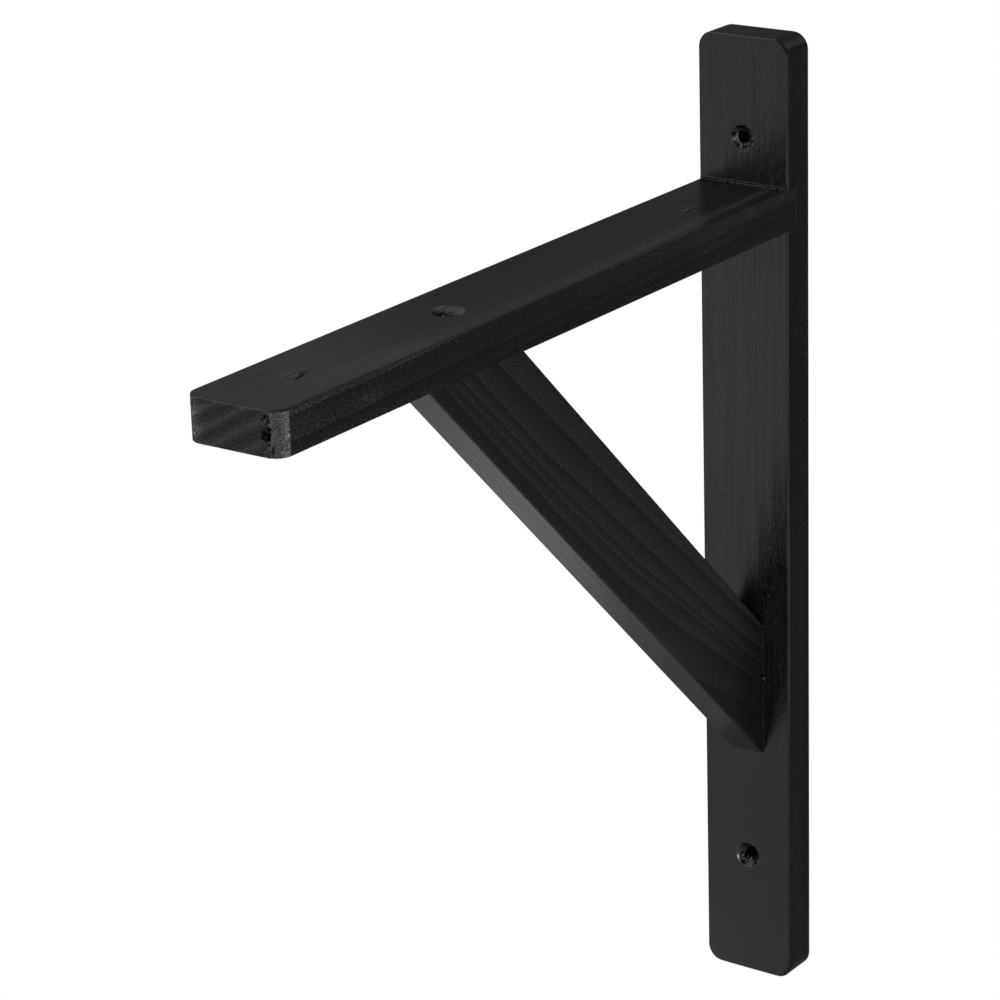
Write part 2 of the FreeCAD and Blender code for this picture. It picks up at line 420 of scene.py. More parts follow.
# How black the paint is, how much a step of pale adds, for the wood showing through and for painted
# highlights and sheen, and how rough it dries
PAINT_BLACK = 0.0016
PAINT_PALE = 0.03
PAINT_ROUGHNESS = 0.26

# Its own variations, laid along the timber's fibres
paint = Recipe("black_paint_on_pine")
place = paint.noted("grain").outputs["Vector"]
ring, rough, pale, torn, raised = (
    paint.noted(name).outputs["Fac"] for name in ("ring", *Finish._fields))
fibre = paint.cloud(place, (2.2, 0.05, 2.2), 4.0, 0.6)
streak = paint.cloud(place, (0.9, 0.02, 0.9), 3.0, 0.6)
speckle = paint.cloud(place, (1.9, 0.95, 1.9), 4.0, 0.75)
wobble = paint.cloud(place, (0.6, 0.04, 0.6), 3.0, 0.6)
grit = paint.cloud(place, (1.25, 0.9, 1.25), 3.0, 0.65)
nap = paint.cloud(place, (1.0, 0.28, 1.0), 3.0, 0.65)
# Pale specks painted into the colour as glints where the fibres stand up
glint_specks = paint.spread(paint.cloud(place, (1.1, 0.8, 1.1), 2.0, 0.6), 0.66, 0.72, 0.0, 1.0)
glint_specks = paint.times(glint_specks, paint.spread(raised, 1.0, 2.0, 2.0, 10.0))

# Colour: the rings show as bands and wood specks through the paint where it is thin; the pale attribute
# also brings painted highlights, sheen and shade, and pale specks are painted in as glints
growth = paint.number("FRACT", paint.plus(ring, paint.times(wobble, 0.06)))
grown = paint.times(paint.number("SUBTRACT", growth, 0.5), 0.8)
grown = paint.times(grown, paint.spread(torn, 0.0, 0.3, 1.0, 0.0))
late = paint.number("ABSOLUTE", paint.times(growth, 2.0, -1.0))
contrast = paint.plus(paint.spread(torn, 0.0, 0.9, 0.7, 1.8), paint.spread(raised, 0.9, 1.0, 0.0, 0.9))
contrast = paint.plus(contrast, paint.spread(raised, 1.0, 2.0, 0.0, 1.0))
speckled = paint.times(paint.spread(speckle, 0.36, 0.64, -1.0, 1.0), contrast, 1.0)
figure = paint.times(paint.plus(grown, 0.65), paint.number("MAXIMUM", speckled, 0.0))
sawn = paint.times(late, paint.spread(torn, 0.35, 0.5, 0.0, -0.7))
figure = paint.times(figure, paint.plus(sawn, 1.0))
pale_and_painted_light = paint.times(pale, paint.plus(figure, glint_specks))
paint.set("Base Color", paint.times(pale_and_painted_light, PAINT_PALE, PAINT_BLACK))

# Gloss: streaky along the fibres and broken by the specks
gloss = paint.times(paint.spread(streak, 0.3, 0.7, -0.06, 0.06), raised, PAINT_ROUGHNESS)
broken = paint.times(rough, paint.spread(speckle, 0.3, 0.7, 0.6, 1.4))
paint.set("Roughness", paint.plus(gloss, broken))

# Relief: fibres and nap where they stand up, specks everywhere and grit where the wood is torn
relief = paint.times(paint.times(fibre, 0.024, paint.times(nap, 0.08)), raised)
relief = paint.plus(relief, paint.times(speckle, paint.times(rough, 0.4, 0.006)))
gritty = paint.times(grit, paint.times(late, 1.3, 0.3))
paint.relief(paint.plus(relief, paint.times(gritty, torn)), MM)
BLACK_PAINT = paint.material


def upright_lay(co):
    return co.x + HALF_TIMBER, co.z + UPRIGHT_DROP, co.y


def at_upright_rim(edge):
    return abs(edge.verts[0].co.y - edge.verts[1].co.y) < 1e-4


def from_axis(away):
    """Distance from a hole's axis of a place given as its way from a point on that axis."""
    return math.hypot(away.x, away.z)


def on_torn_side(away, hole):
    """How far such a place lies on the hole's torn side: 1 on it, -1 across from it."""
    towards = away.x * hole.torn_side.x + away.z * hole.torn_side.z
    return towards / max(from_axis(away), 0.1)


def in_wall_hole(co):
    """How torn a wall hole's countersink is at a point, fading out at its rim."""
    for hole in WALL_HOLES:
        away = co - hole.centre
        inside = hole.mouth + 0.5 - from_axis(away)
        if inside > 0 and away.y < 4.5:
            side = max(0.0, on_torn_side(away, hole) + hole.all_round)
            return min(1.0, inside / 0.6) * min(1.0, side + 0.05)
    return 0.0


def in_countersink(co):
    return co.y < -9 and any(from_axis(co - hole.centre) < hole.mouth for hole in WALL_HOLES)


def in_bore(co):
    ways = [co - hole.centre - hole.bore_aside for hole in WALL_HOLES]
    return any(from_axis(away) < WALL_HOLE_BORE + 0.12 for away in ways)


def at_bore_rim(co):
    """How near a point is to the lip where a countersink meets its bore, on the torn side."""
    for hole in WALL_HOLES:
        away = co - hole.centre - hole.bore_aside
        radius = from_axis(away)
        if radius < hole.mouth:
            side = on_torn_side(away, hole) + 2.2 * hole.all_round
            return hump(radius, WALL_HOLE_BORE + 0.3, 0.22) * clamp(side)
    return 0.0


def spotted(first, second, spots):
    """How near a place is to the middle of some small spots: 1 at a middle, 0 outside them."""
    return clamp(max(
        2 - 2 * ((first - a) ** 2 + (second - b) ** 2) / reach ** 2 for a, b, reach in spots))


def upright_finish(vert):
    """The grain is brushed open above the brace's heel, and stands open beside the brace and over the arm,
    with pale streaks there painted in as flecks of light in the shade those parts reflect.
    """
    x, y, z = vert.co
    side = abs(vert.normal.x)
    front = 1 - side
    end = abs(vert.normal.z) > 0.6
    hole = in_wall_hole(vert.co)
    if in_bore(vert.co):
        return Finish(rough=0.4, pale=0.0, torn=0.0, raised=0.0)
    if hole or in_countersink(vert.co):
        # Torn wood shows pale in the countersink, the lip round the bore gets a painted highlight, the pits
        # are painted black as their shade and the glint spots are painted pale
        bare_wood_and_painted_light = (0.9 + 3.8 * hole + 7.0 * at_bore_rim(vert.co)) * (1 - spotted(x, z, WALL_HOLE_PITS))
        painted_glints = 21.0 * spotted(x, z, WALL_HOLE_PAINTED_GLINTS)
        return Finish(rough=-0.13 * hole, pale=bare_wood_and_painted_light + painted_glints, torn=0.12 * hole, raised=0.0)
    brushed = ramp(z, BRUSHED_FROM, 30)
    foot = front * ramp(x, 3, 3) * hump(z, OPEN_GRAIN_AND_PAINTED_FLECKS_BY_BRACE, 42, 4)
    seam = front * ramp(x, -12, 16) * hump(z, OPEN_GRAIN_AND_PAINTED_FLECKS_OVER_ARM, 20) if z > OPEN_GRAIN_AND_PAINTED_FLECKS_OVER_ARM else 0.0
    streaked = max(0.0, 1 + 1.8 * noise.noise(Vector((x / 1.3, z / 30, 2.7))))
    rubbed_and_painted_flecks = 0.35 * side * hump(z, RUBBED_TOP, 12)
    # Pale streaks beside the brace and over the arm are painted flecks of light in the shade reflected
    # there
    rubbed_and_painted_flecks += streaked * (0.26 * foot * (1 - 0.6 * hump(z, OPEN_GRAIN_AND_PAINTED_FLECKS_BY_BRACE, 14)) + 0.05 * seam)
    return Finish(
        rough=0.03 * side + 0.08 * end + 0.05 * foot,
        pale=0.05 + 0.14 * brushed * front + 0.33 * side + 0.1 * end + rubbed_and_painted_flecks,
        torn=brushed * (0.03 * (1 + 0.5 * x / HALF_TIMBER) + 0.05 * foot) * front + 0.03 * side,
        raised=max(side, 0.1 + 0.7 * brushed + 1.9 * foot + 1.7 * seam))


corners = [Vector((x, 0, z)) for x, z in (
    (-HALF_TIMBER, -UPRIGHT_DROP), (HALF_TIMBER, -UPRIGHT_DROP),
    (HALF_TIMBER, UPRIGHT_RISE), (-HALF_TIMBER, UPRIGHT_RISE))]
upright = planed_board(
    rounded_outline(corners, [UPRIGHT_CORNER] * 4), -TO_WALL * UPRIGHT_THICKNESS,
    at_upright_rim, EASED_EDGE)
cutter = bmesh.new()
add_block(
    cutter, (-HALF_TIMBER - OVERCUT, -UPRIGHT_THICKNESS - OVERCUT, -ARM_THICKNESS),
    (HALF_TIMBER + OVERCUT, HOUSING_FLOOR, 0))
for hole in WALL_HOLES:
    add_countersunk_hole(
        cutter, Matrix.Translation(hole.centre) @ OUT_OF_FRONT, hole.mouth, WALL_HOLE_BORE,
        OUT_OF_FRONT.inverted() @ hole.bore_aside, UPRIGHT_THICKNESS)
upright = cut_away(upright, cutter)
cutter = bmesh.new()
for height in (BRACE_HEEL_SCREW, -ARM_THICKNESS / 2):
    add_turned(cutter, Matrix.Translation((0, 0, height)) @ OUT_OF_BACK, [
        (0, OVERCUT), (SCREW_SEAT + OVERCUT, OVERCUT), (SCREW_SEAT, 0),
        (SCREW_BORE, SCREW_BORE - SCREW_SEAT),
        (SCREW_BORE, -UPRIGHT_THICKNESS - OVERCUT), (0, -UPRIGHT_THICKNESS - OVERCUT)])
upright = cut_away(upright, cutter)
divide(upright, UP, -285, 49, GRID_ALONG)
divide(upright, ALONG_WALL, -16.75, 16.75, GRID_ACROSS)
divide(upright, TO_WALL, -13.0, -0.5, GRID_THROUGH)
for hole in WALL_HOLES:
    around = near(hole.centre, WALL_HOLE_ROUND)
    height, reach = hole.centre.z, WALL_HOLE_GRID_REACH
    divide(upright, UP, height - reach, height + reach, WALL_HOLE_GRID, around)
    divide(upright, ALONG_WALL, -reach, reach, WALL_HOLE_GRID, around)
    divide(upright, TO_WALL, -UPRIGHT_THICKNESS + 0.3, -UPRIGHT_THICKNESS + 2.7, 0.4, around)
divide(upright, ALONG_WALL, 3.95, 4.75, 0.05, lambda point: 3.6 < point.x < 5.1 and point.y < -13.4)
for vert in upright.verts:
    if vert.co.y < EASED_EDGE - UPRIGHT_THICKNESS:
        vert.co.y += UPRIGHT_CUPPING * (vert.co.x / HALF_TIMBER) ** 2
upright.normal_update()
score(upright, lambda vert: vert.co.xz if vert.normal.y < -0.9 else None, UPRIGHT_CRACKS, 0.5)
grain_up(upright, upright_lay, UPRIGHT_LINES, RING_SLANT, upright_finish, UPRIGHT_RIDGE)
upright.normal_update()
tear(upright, in_wall_hole, deep=0.26, grain_size=0.52, pits=0.40)
for vert in upright.verts:
    if in_countersink(vert.co) and not in_bore(vert.co):
        vert.co.y += WALL_HOLE_PIT_DEPTH * spotted(vert.co.x, vert.co.z, WALL_HOLE_PITS)
upright_piece = finished(upright, "upright_board", BLACK_PAINT)
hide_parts("upright")

# Arm: the board that the shelf lies on. The same stock as the upright, its front corners rounded and
# its other end let into the upright's housing and glued. Two screw holes come up through it for the
# shelf, torn a little where the drill broke out, and a sunk screw near its front holds the brace.
ARM_REACH = 280.0
ARM_CORNER = 5.0
ARM_EDGE = 0.42
ARM_CUPPING = 0.22
SHELF_HOLES = (-48.0, -250.5)
SHELF_HOLE_MOUTH = 4.0
SHELF_HOLE_BORE = 2.25
SHELF_HOLE_SKIN = 1.1
SHELF_HOLE_POINT = 0.4
BRACE_TOE_SCREW = -178.9
ARM_SEAT = 5.45
ARM_SEAT_RIM = (5.15, -0.08)
ARM_SEAT_WAIST = (4.1, -1.1)
PILOT_BORE = 1.35
ARM_PILOT = 26.0
ARM_PIT_DEPTH = 1.4
MARK_GRID = 0.25
MARK_ROUND = 6.5
CORNER_GRID = 0.22

# Growth lines on the right side: (back from the front end, down)
ARM_LINES = [
    [(0, -26.0), (140, -28.0), (280, -31.0)],
    [(0, -20.3), (140, -22.5), (280, -25.5)],
    [(0, -14.4), (140, -16.8), (280, -20.0)],
    [(0, -8.9), (140, -11.2), (280, -14.5)],
    [(0, -3.4), (140, -5.6), (280, -9.0)],
    [(0, 2.8), (85, 1.0), (280, -3.0)],
    [(0, 10.0), (140, 7.4), (280, 4.0)],
    [(0, 15.0), (100, 12.6), (140, 10.3), (280, 7.5)],
    [(0, 21.0), (140, 17.5), (280, 13.5)],
]
ARM_RIDGE = 0.004

# Soft pale smears: (along, up or across, reach along, other reach, strength)
ARM_SIDE_SMEARS = [
    (-271, -4, 10, 4, 0.65), (-240, -7, 6, 3, 0.8), (-221, -1.5, 5, 1.5, 0.5), (-198, -0.8, 6, 1.2, 0.4),
    (-94, -8.5, 16, 2, 0.18), (-36, -1.8, 4, 2.2, 0.8), (-58, -6, 13, 4, 0.6),
]
ARM_TOP_SMEARS = [
    (-218, 12, 14, 3, 1.3), (-240, 9, 14, 3, 0.35), (-60, 15, 30, 2, 0.3), (-38, 15, 4, 3, 0.8),
    (-26, 3.5, 16, 1.6, 0.5), (-26, 10.8, 18, 1.9, 0.8), (-20, -4, 14, 1.5, 0.35), (-30, -12, 18, 4, 0.4),
]

# Open pits in the end grain, dented in and painted plain black as their shade: (across, up, reach)
ARM_END_PITS = [
    (12.5, -7.2, 1.1), (11.4, -6.9, 0.8), (12.9, -5.6, 0.8), (12.8, -8.3, 0.8), (10.9, -8.2, 0.6),
    (11.8, -8.9, 0.6), (11.8, -2.1, 0.5), (13.0, -1.9, 0.45), (11.2, -2.9, 0.35), (12.7, -3.2, 0.35),
    (13.9, -12.0, 0.45), (12.8, -10.2, 0.35), (14.0, -10.9, 0.35), (12.2, -4.4, 0.3),
]

# Torn marks over the shelf holes: (points, half width, depth, lip)
ARM_MARKS = [
    ([(1.6, -252.9), (1.45, -251.1), (1.05, -249.0)], 0.2, 1.5, 0.18),
    ([(-1.9, -252.7), (-1.5, -251.3), (-2.0, -249.4), (-1.1, -248.2), (0.2, -247.3)], 0.26, 0.10, 0.14),
    ([(1.6, -50.3), (1.2, -47.5), (1.45, -44.8)], 0.22, 0.7, 0.12),
    ([(-1.9, -49.7), (-1.2, -50.9), (0.9, -50.7)], 0.26, 0.12, 0.14),
    ([(-1.6, -48.5), (-1.0, -47.2), (-0.2, -48.2)], 0.26, 0.10, 0.14),
]

# The rough patch round the front right corner, and the strip of open pores before its rounding
WORN_FROM_ACROSS = 10.3
WORN_FROM_ALONG = -275
PITTED_STRIP = 12.3


def arm_lay(co):
    return -co.z, co.y + ARM_REACH, co.x - HALF_TIMBER


def at_arm_rim(edge):
    level = abs(edge.verts[0].co.z - edge.verts[1].co.z) < 1e-4
    return level and min(v.co.y for v in edge.verts) < HOUSING_FLOOR - 1e-4


def at_worn_corner(co):
    """How far a point is in the rough patch round the arm's front right corner."""
    if co.y > WORN_FROM_ALONG or co.x < WORN_FROM_ACROSS:
        return 0.0
    return ramp(co.x, WORN_FROM_ACROSS, 1.2) * ramp(-co.y, -WORN_FROM_ALONG, 0.8) * ramp(-co.z, 0.3, 0.5)


def in_worn_patch(co):
    return at_worn_corner(co) > 0


def at_pitted_strip(co):
    """How far a point is in the strip of open pores before that corner's rounding."""
    return at_worn_corner(co) * max(0.0, 1 - abs(co.x - PITTED_STRIP) / 2.0) ** 0.5


def smeared(first, second, smears):
    """How pale the paint is rubbed at a place by soft smears."""
    return sum(strength * math.exp(-((first - a) / along) ** 2 - ((second - b) / across) ** 2)
               for a, b, along, across, strength in smears)


def arm_end_finish(x, y, z, corner, pitted):
    """Sawn end grain, with painted highlight along its left edge and on the rounding of the rough corner,
    and painted shade in its pits.
    """
    painted_corner_highlight = corner * ramp(x, 13.2, 0.4) * (0.52 + 1.25 * min(1.0, (y + ARM_REACH) / 3.6) ** 3)
    # Pale along the left edge and on the corner's rounding is painted highlight, and the pits drop to plain
    # black as painted shade
    pale = 1.75 + 9.0 * hump(x, -14.4, 3.0) + 1.6 * pitted + 6.6 * painted_corner_highlight
    return Finish(
        rough=0.08 + 0.12 * corner, pale=pale * (1 - spotted(x, z, ARM_END_PITS)),
        torn=0.90 - 0.7 * corner, raised=0.3)


def arm_side_finish(y, z):
    """Brushed sides, paler towards the front end and along the top edge."""
    pale = 0.64 + 0.85 * hump(z, -0.6, 2.3) + 0.6 * ramp(-y, 190, 90) + smeared(y, z, ARM_SIDE_SMEARS)
    return Finish(rough=0.08, pale=pale, torn=0.03, raised=1.0)


def arm_top_finish(x, y):
    """The planed top, dusty along its right and burred round the shelf holes."""
    front = ramp(-y, 225, 35)
    dust = (0.95 - 0.75 * front) * hump(x, 12, 4.5)
    burr = (1 + 0.5 * front) * sum(math.exp(-(x ** 2 + (y - hole) ** 2) / 7.0) for hole in SHELF_HOLES)
    return Finish(
        rough=0.04 * front, pale=0.22 - 0.14 * front + dust + 4.0 * burr + smeared(y, x, ARM_TOP_SMEARS),
        torn=0.10 * burr, raised=0.26 + 0.1 * front + 0.5 * max(0.0, (y + 60) / 50))


def arm_finish(vert):
    """Sawn end grain takes the paint roughest, the sides less and the planed top least."""
    x, y, z = vert.co
    corner = at_worn_corner(vert.co)
    if 0.35 < vert.normal.z < 0.95 and z > -1:
        return Finish(rough=0.12, pale=1.6 if vert.normal.y < -0.3 else 1.3, torn=0.03, raised=0.3)
    if vert.normal.y < -0.6 or corner:
        return arm_end_finish(x, y, z, corner, at_pitted_strip(vert.co))
    if abs(vert.normal.x) > 0.6:
        return arm_side_finish(y, z)
    if vert.normal.z < 0.6:
        return Finish(rough=0.05, pale=0.3, torn=0.02, raised=0.5)
    return arm_top_finish(x, y)


corners = [Vector((x, y, 0)) for x, y in (
    (-HALF_TIMBER, HOUSING_FLOOR), (-HALF_TIMBER, -ARM_REACH),
    (HALF_TIMBER, -ARM_REACH), (HALF_TIMBER, HOUSING_FLOOR))]
arm = planed_board(
    rounded_outline(corners, [0, ARM_CORNER, ARM_CORNER, 0]), -UP * ARM_THICKNESS, at_arm_rim, ARM_EDGE)
divide(arm, TO_WALL, -UPRIGHT_THICKNESS, -UPRIGHT_THICKNESS + 0.06, 0.05)
for vert in arm.verts:
    if vert.co.y > -UPRIGHT_THICKNESS + 0.02 and abs(vert.co.x) > HALF_TIMBER - ARM_EDGE - 0.01:
        vert.co.x = math.copysign(HALF_TIMBER, vert.co.x)
        vert.co.z = 0 if vert.co.z > -ARM_THICKNESS / 2 else -ARM_THICKNESS
bmesh.ops.remove_doubles(arm, verts=arm.verts[:], dist=1e-4)
cutter = bmesh.new()
out_of_underside = Matrix.Rotation(math.radians(180), 4, "X")
for distance in SHELF_HOLES:
    top = SHELF_HOLE_SKIN - ARM_THICKNESS
    add_turned(cutter, Matrix.Translation((0, distance, -ARM_THICKNESS)) @ out_of_underside, [
        (0, OVERCUT), (SHELF_HOLE_MOUTH + OVERCUT, OVERCUT), (SHELF_HOLE_MOUTH, 0),
        (SHELF_HOLE_BORE, SHELF_HOLE_BORE - SHELF_HOLE_MOUTH),
        (SHELF_HOLE_BORE, top + SHELF_HOLE_POINT), (0, top)])
add_turned(cutter, Matrix.Translation((0, BRACE_TOE_SCREW, 0)), [
    (0, OVERCUT), (ARM_SEAT, OVERCUT), (ARM_SEAT, 0.0), ARM_SEAT_RIM, ARM_SEAT_WAIST,
    (SCREW_BORE, SCREW_BORE - SCREW_SEAT),
    (SCREW_BORE, -ARM_THICKNESS - OVERCUT), (0, -ARM_THICKNESS - OVERCUT)])
add_turned(cutter, Matrix.Translation((0, HOUSING_FLOOR, -ARM_THICKNESS / 2)) @ OUT_OF_BACK, [
    (0, OVERCUT), (PILOT_BORE, OVERCUT), (PILOT_BORE, -ARM_PILOT), (0, -ARM_PILOT - 1.0)], 32)
arm = cut_away(arm, cutter)
divide(arm, TO_WALL, -279, -16, GRID_ALONG)
divide(arm, ALONG_WALL, -16.75, 16.75, GRID_ACROSS)
divide(arm, UP, -13.3, -0.7, GRID_THROUGH)
for distance in (*SHELF_HOLES, BRACE_TOE_SCREW):
    around = near(Vector((0, distance, 0)), MARK_ROUND)
    divide(arm, TO_WALL, distance - 6, distance + 6, MARK_GRID, around)
    divide(arm, ALONG_WALL, -5.875, 5.875, MARK_GRID, around)
divide(arm, UP, -13.6, -0.4, CORNER_GRID, in_worn_patch)
divide(arm, ALONG_WALL, 10.1, 16.9, CORNER_GRID, in_worn_patch)
divide(arm, TO_WALL, -279.4, -273.6, 0.3, in_worn_patch)
for vert in arm.verts:
    if vert.co.z > -0.7:
        fade = ramp(-vert.co.y, UPRIGHT_THICKNESS + 1, 25)
        vert.co.z -= ARM_CUPPING * fade * (1 - (vert.co.x / HALF_TIMBER) ** 2)
arm.normal_update()
score(arm, lambda vert: vert.co.xy if vert.normal.z > 0.8 and vert.co.z > -0.5 else None, ARM_MARKS)
grain_up(arm, arm_lay, ARM_LINES, RING_SLANT, arm_finish, ARM_RIDGE)
arm.normal_update()
tear(arm, at_worn_corner, deep=0.07, grain_size=0.55)
tear(arm, at_pitted_strip, deep=0.0, grain_size=1.25, pits=0.5)
tear(arm, at_pitted_strip, deep=0.0, grain_size=0.5, pits=0.4)
for vert in arm.verts:
    if vert.co.y < -278.5 and vert.co.x < 15:
        vert.co.y += ARM_PIT_DEPTH * spotted(vert.co.x, vert.co.z, ARM_END_PITS)
arm_piece = finished(arm, "arm_board", BLACK_PAINT)
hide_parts("arm")

# Brace: a narrower strip set on edge at a slant, mitred at both ends, glued and screwed under the arm
# and against the upright. It is sawn so that its growth rings run out along its sides as curved lines.
BRACE_OUT = 189.5
BRACE_DOWN = 188.0
BRACE_DEPTH = 34.0
BRACE_WIDTH = 13.0
BRACE_EDGE = 0.5
BRACE_PILOT = 26.6
BRACE_PILOT_POINT = 30.6

# Growth lines on the right side: (from the toe along the brace, down from its upper face)
BRACE_LINES = [
    [(35, -2.0), (145, -3.5), (240, -7.0)],
    [(35, 10.0), (70, 9.0), (145, 6.0), (210, 3.2), (240, 1.2)],
    [(35, 18.7), (75, 18.5), (100, 16.5), (145, 14.5), (210, 10.0), (240, 7.0)],
    [(35, 23.0), (90, 22.5), (145, 20.2), (210, 13.9), (245, 10.9)],
    [(35, 25.8), (90, 25.4), (145, 23.2), (210, 16.0), (245, 12.5)],
    [(35, 29.3), (90, 29.5), (145, 28.4), (180, 25.5), (210, 21.0), (245, 16.2)],
    [(35, 41.0), (145, 40.0), (205, 34.0), (220, 31.0), (240, 26.2), (260, 25.0)],
    [(35, 48.0), (145, 47.0), (205, 42.0), (240, 37.0), (260, 34.0)],
]
BRACE_RIDGE = 0.01
toe = Vector((0, -UPRIGHT_THICKNESS - BRACE_OUT, -ARM_THICKNESS))
heel = Vector((0, -UPRIGHT_THICKNESS, -ARM_THICKNESS - BRACE_DOWN))
BRACE_RUN = (heel - toe).normalized()
BRACE_RISE = Vector((0, -BRACE_RUN.z, BRACE_RUN.y))


def brace_lay(co):
    from_toe = co - toe
    return BRACE_DEPTH - from_toe.dot(BRACE_RISE), from_toe.dot(BRACE_RUN), co.x - BRACE_WIDTH / 2


def along_brace(edge):
    line = (edge.verts[0].co - edge.verts[1].co).normalized()
    return abs(line.dot(BRACE_RUN)) > 0.99


def brace_finish(vert):
    """Planed faces with open grain on the sides, darker towards the heel."""
    side = abs(vert.normal.x)
    above_heel = ramp(vert.co.z, -175, 30)
    return Finish(
        rough=0.08 * side, pale=0.08 + (0.48 + 0.85 * above_heel) * side,
        torn=0.02 * side, raised=0.38 + 0.52 * side)


slope = BRACE_DOWN / BRACE_OUT
inner_out = BRACE_OUT - BRACE_DEPTH / math.sin(math.atan(slope))
side = Vector((-BRACE_WIDTH / 2, 0, 0))
corners = [
    toe + side, heel + side,
    Vector((0, -UPRIGHT_THICKNESS, -ARM_THICKNESS - inner_out * slope)) + side,
    Vector((0, -UPRIGHT_THICKNESS - inner_out, -ARM_THICKNESS)) + side,
]
brace = planed_board(corners, ALONG_WALL * BRACE_WIDTH, along_brace, BRACE_EDGE)
cutter = bmesh.new()
pilot = [(0, 0), (PILOT_BORE, 0), (PILOT_BORE, -BRACE_PILOT), (0, -BRACE_PILOT_POINT)]
add_turned(cutter, Matrix.Translation((0, BRACE_TOE_SCREW, 0)), pilot, 32)
add_turned(cutter, Matrix.Translation((0, 0, BRACE_HEEL_SCREW)) @ OUT_OF_BACK, pilot, 32)
brace = cut_away(brace, cutter)
run_from = toe.dot(BRACE_RUN)
rise_from = toe.dot(BRACE_RISE)
divide(brace, BRACE_RUN, run_from + 1.0, run_from + 266, GRID_ALONG)
divide(brace, BRACE_RISE, rise_from + 0.75, rise_from + 33.5, GRID_ACROSS)
divide(brace, ALONG_WALL, -5.9, 5.9, GRID_THROUGH)
grain_up(brace, brace_lay, BRACE_LINES, -RING_SLANT, brace_finish, BRACE_RIDGE)
brace_piece = finished(brace, "brace_strip", BLACK_PAINT)
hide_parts("brace")

# Screws: three countersunk wood screws with cross recesses, driven before painting, so that the paint
# covers their heads. The one in the arm is clogged with it, and sits a little askew in its seat.
SCREW_HEAD = 4.0
SCREW_LAND = 0.4
SCREW_SINK = 0.6
SCREW_NECK = 2.0
SCREW_CORE = 1.25
SCREW_THREAD = 0.6
SCREW_PITCH = 1.8
SCREW_POINT = 4.0
RECESS_REACH = 2.2
RECESS_HALF_WING = 0.5
CHEWED_ACROSS = -1.5
CHEWED_ALONG = -2.5
CHEWED_AREA = 4.4
HEAD_RINGS = 24
HEAD_STEPS = 72
HEAD_TILT = math.radians(6)
SUNK_SIDE = Vector((0.3, -0.95, 0))

head = Recipe("black_paint_on_screw")
spot = head.add("ShaderNodeTexCoord").outputs["Object"]
lumps = head.cloud(spot, (1600, 1600, 1600), 3.0)
head.set("Base Color", (0.004, 0.004, 0.004, 1))
head.set("Roughness", head.spread(lumps, 0.3, 0.7, 0.2, 0.4))
head.relief(lumps, 0.0001)


def surface_rings(reach, count, steps, height_at):
    """Rings of points from the middle of a round surface out to its reach."""
    return [
        [Vector((x, y, height_at(x, y))) for x, y in circle(reach * share / count, steps)]
        for share in range(count + 1)]


def head_height(x, y, recess, lump, chewed):
    """Height of the painted head at a place on it, with the hollow that the driver chewed in it."""
    reach = max(abs(x), abs(y))
    beside = min(abs(x), abs(y))
    radius = math.hypot(x, y)
    open_across = clamp((RECESS_HALF_WING + 0.12 - beside) / 0.24)
    open_along = clamp((RECESS_REACH - reach) / 0.7)
    rounding = 0.12 * max(0.0, (radius / SCREW_HEAD - 0.85) / 0.15) ** 2
    lumpy = lump * noise.noise(Vector((x * 1.1, y * 1.1, 3.7)))
    lumpy += 0.5 * lump * noise.noise(Vector((x * 2.6, y * 2.6, 1.2)))
    hollow = chewed * max(0.0, 1 - ((x - CHEWED_ACROSS) ** 2 + (y - CHEWED_ALONG) ** 2) / CHEWED_AREA)
    hollow *= min(1.0, (SCREW_HEAD - radius) / 0.5)
    return lumpy - rounding - max(hollow, recess * open_across * open_along)


def drive_screw(name, node, place, spin, length, plain, recess=1.8, lump=0.06, tilt=0.0, chewed=0.0):
    """Makes a wood screw at the origin along -Z and puts it into its seat."""
    rings = surface_rings(
        SCREW_HEAD, HEAD_RINGS, HEAD_STEPS, lambda x, y: head_height(x, y, recess, lump, chewed))
    under_head = -SCREW_LAND - (SCREW_HEAD - SCREW_NECK)
    for radius, height in ((SCREW_HEAD, -SCREW_LAND), (SCREW_NECK, under_head), (SCREW_NECK, -plain)):
        rings.append(level_ring(radius, height, HEAD_STEPS))
    height = -plain - 0.3
    while height > -length + 0.1:
        taper = min(1.0, (height + length) / SCREW_POINT)
        ring = []
        for step, (x, y) in enumerate(circle(1, HEAD_STEPS)):
            phase = (height / SCREW_PITCH + step / HEAD_STEPS) % 1.0
            crest = max(0.0, 1 - abs(phase - 0.5) / 0.28)
            radius = taper * (SCREW_CORE + SCREW_THREAD * crest)
            ring.append(Vector((radius * x, radius * y, height)))
        rings.append(ring)
        height -= SCREW_PITCH / 7
    rings.append(level_ring(0, -length, HEAD_STEPS))
    seat = place @ Matrix.Translation((0, 0, -SCREW_SINK))
    lean = Matrix.Rotation(tilt, 4, UP.cross(SUNK_SIDE))
    turn = Matrix.Rotation(math.radians(spin), 4, "Z")
    screw = bmesh.new()
    add_rings(screw, [
        [seat @ (lean if point.z > under_head + 0.1 else Matrix()) @ turn @ point for point in ring]
        for ring in rings])
    piece = finished(screw, name, head.material)
    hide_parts(node)


drive_screw(
    "screw_through_arm", "arm_brace_screw", Matrix.Translation((0, BRACE_TOE_SCREW, 0)),
    spin=25.0, length=30.0, plain=12.9, recess=0.9, lump=0.10, tilt=HEAD_TILT, chewed=1.5)
drive_screw(
    "screw_into_brace", "upright_brace_screw", Matrix.Translation((0, 0, BRACE_HEEL_SCREW)) @ OUT_OF_BACK,
    spin=60.0, length=30.0, plain=12.4)
drive_screw(
    "screw_into_arm", "upright_arm_screw", Matrix.Translation((0, 0, -ARM_THICKNESS / 2)) @ OUT_OF_BACK,
    spin=10.0, length=35.0, plain=7.6)

